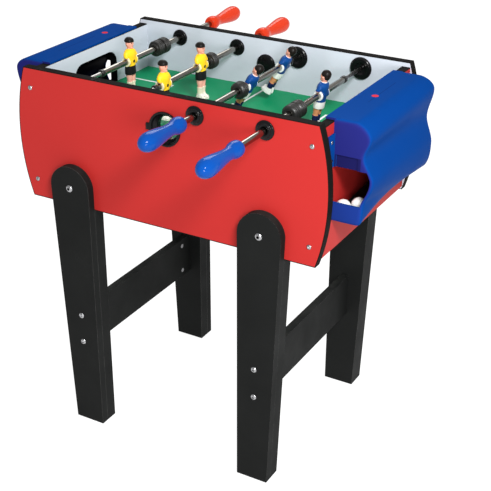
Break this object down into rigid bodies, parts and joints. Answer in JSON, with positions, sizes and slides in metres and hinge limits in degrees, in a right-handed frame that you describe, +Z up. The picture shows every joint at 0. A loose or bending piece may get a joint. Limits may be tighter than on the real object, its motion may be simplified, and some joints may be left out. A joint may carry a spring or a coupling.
{
  "type": "foosball table",
  "caption": "Children's foosball table: walled playing field on four board legs, telescopic player rods that slide and spin from handles, moulded goal covers with ball returns.",
  "frame": {"origin": "on the floor, under the middle of the table", "axes": "+X along the table towards its right end, +Y along the rods away from the near side, +Z up"},
  "size_m": [0.8196, 0.892, 0.822],
  "materials": {
    "red_board": "red laminate outside, pale grey-white inside, on fibreboard",
    "black_edging": "satin edging strip",
    "green_field": "printed green with white lines",
    "bare_wood": "planed softwood",
    "blue_cover": "glossy moulded",
    "ramp_plastic": "plain moulded",
    "black_plastic": "satin moulded",
    "black_board": "satin black laminate on fibreboard",
    "plated_steel": "bright plated",
    "zinc": "dull zinc",
    "dark_screw": "blackened",
    "chrome_tube": "bright plated",
    "steel_core": "drawn bar",
    "red_handle": "glossy moulded",
    "blue_handle": "glossy moulded",
    "black_rubber": "satin",
    "yellow_player": "moulded and painted",
    "blue_player": "moulded and painted",
    "white_ball": "smooth"
  },
  "bodies": {
    "cabinet": {"near_side_panel": "red_board", "far_side_panel": "red_board", "right_end_panel": "red_board", "left_end_panel": "red_board", "side_panel_edgings": "black_edging", "end_panel_edgings": "black_edging", "playing_field": "green_field", "field_battens": "bare_wood", "right_end_cover": "blue_cover", "left_end_cover": "blue_cover", "right_ball_ramp": "ramp_plastic", "left_ball_ramp": "ramp_plastic", "rod_bushes": "black_plastic", "rod_sockets": "black_plastic", "near_ball_entry": "black_plastic", "far_hole_plug": "black_plastic", "near_right_leg_plate": "black_board", "near_left_leg_plate": "black_board", "far_right_leg_plate": "black_board", "far_left_leg_plate": "black_board", "near_right_leg_post": "black_board", "near_left_leg_post": "black_board", "far_right_leg_post": "black_board", "far_left_leg_post": "black_board", "right_stretcher": "black_board", "left_stretcher": "black_board", "leg_bolts": "plated_steel", "stretcher_bolts": "plated_steel", "panel_screws": "plated_steel", "cover_screws": "plated_steel", "barrel_nuts": "zinc"},
    "yellow_goal_rod_inner": {"yellow_goal_rod_core": "steel_core"},
    "yellow_goal_rod": {"yellow_goal_rod_tube": "chrome_tube", "yellow_goal_rod_handle": "red_handle", "yellow_goal_rod_stops": "black_rubber", "yellow_goal_rod_player_screws": "dark_screw", "yellow_goalkeeper": "yellow_player"},
    "yellow_forward_rod_inner": {"yellow_forward_rod_core": "steel_core"},
    "yellow_forward_rod": {"yellow_forward_rod_tube": "chrome_tube", "yellow_forward_rod_handle": "red_handle", "yellow_forward_rod_stops": "black_rubber", "yellow_forward_rod_player_screws": "dark_screw", "yellow_near_forward": "yellow_player", "yellow_far_forward": "yellow_player"},
    "blue_forward_rod_inner": {"blue_forward_rod_core": "steel_core"},
    "blue_forward_rod": {"blue_forward_rod_tube": "chrome_tube", "blue_forward_rod_handle": "blue_handle", "blue_forward_rod_stops": "black_rubber", "blue_forward_rod_player_screws": "dark_screw", "blue_near_forward": "blue_player", "blue_far_forward": "blue_player"},
    "blue_goal_rod_inner": {"blue_goal_rod_core": "steel_core"},
    "blue_goal_rod": {"blue_goal_rod_tube": "chrome_tube", "blue_goal_rod_handle": "blue_handle", "blue_goal_rod_stops": "black_rubber", "blue_goal_rod_player_screws": "dark_screw", "blue_goalkeeper": "blue_player"},
    "front_ball": {"front_ball": "white_ball"},
    "back_ball": {"back_ball": "white_ball"}
  },
  "joints": [
    {"name": "yellow_goal_rod_spin", "type": "hinge", "parent": "cabinet", "child": "yellow_goal_rod_inner", "pos_m": [-0.222, 0, 0.771], "axis": [0, 1, 0], "continuous": true},
    {"name": "yellow_goal_rod_slide", "type": "slide", "parent": "yellow_goal_rod_inner", "child": "yellow_goal_rod", "axis": [0, 1, 0], "range_m": [-0.086, 0.053]},
    {"name": "yellow_forward_rod_spin", "type": "hinge", "parent": "cabinet", "child": "yellow_forward_rod_inner", "pos_m": [-0.074, 0, 0.771], "axis": [0, 1, 0], "continuous": true},
    {"name": "yellow_forward_rod_slide", "type": "slide", "parent": "yellow_forward_rod_inner", "child": "yellow_forward_rod", "axis": [0, 1, 0], "range_m": [-0.06, 0.095]},
    {"name": "blue_forward_rod_spin", "type": "hinge", "parent": "cabinet", "child": "blue_forward_rod_inner", "pos_m": [0.074, 0, 0.771], "axis": [0, 1, 0], "continuous": true},
    {"name": "blue_forward_rod_slide", "type": "slide", "parent": "blue_forward_rod_inner", "child": "blue_forward_rod", "axis": [0, 1, 0], "range_m": [-0.129, 0.026]},
    {"name": "blue_goal_rod_spin", "type": "hinge", "parent": "cabinet", "child": "blue_goal_rod_inner", "pos_m": [0.222, 0, 0.771], "axis": [0, 1, 0], "continuous": true},
    {"name": "blue_goal_rod_slide", "type": "slide", "parent": "blue_goal_rod_inner", "child": "blue_goal_rod", "axis": [0, 1, 0], "range_m": [-0.065, 0.074]},
    {"name": "front_ball_lift", "type": "slide", "parent": "cabinet", "child": "front_ball", "axis": [0, 0, 1], "range_m": [0, 0.05]},
    {"name": "back_ball_lift", "type": "slide", "parent": "cabinet", "child": "back_ball", "axis": [0, 0, 1], "range_m": [0, 0.05]}
  ]
}
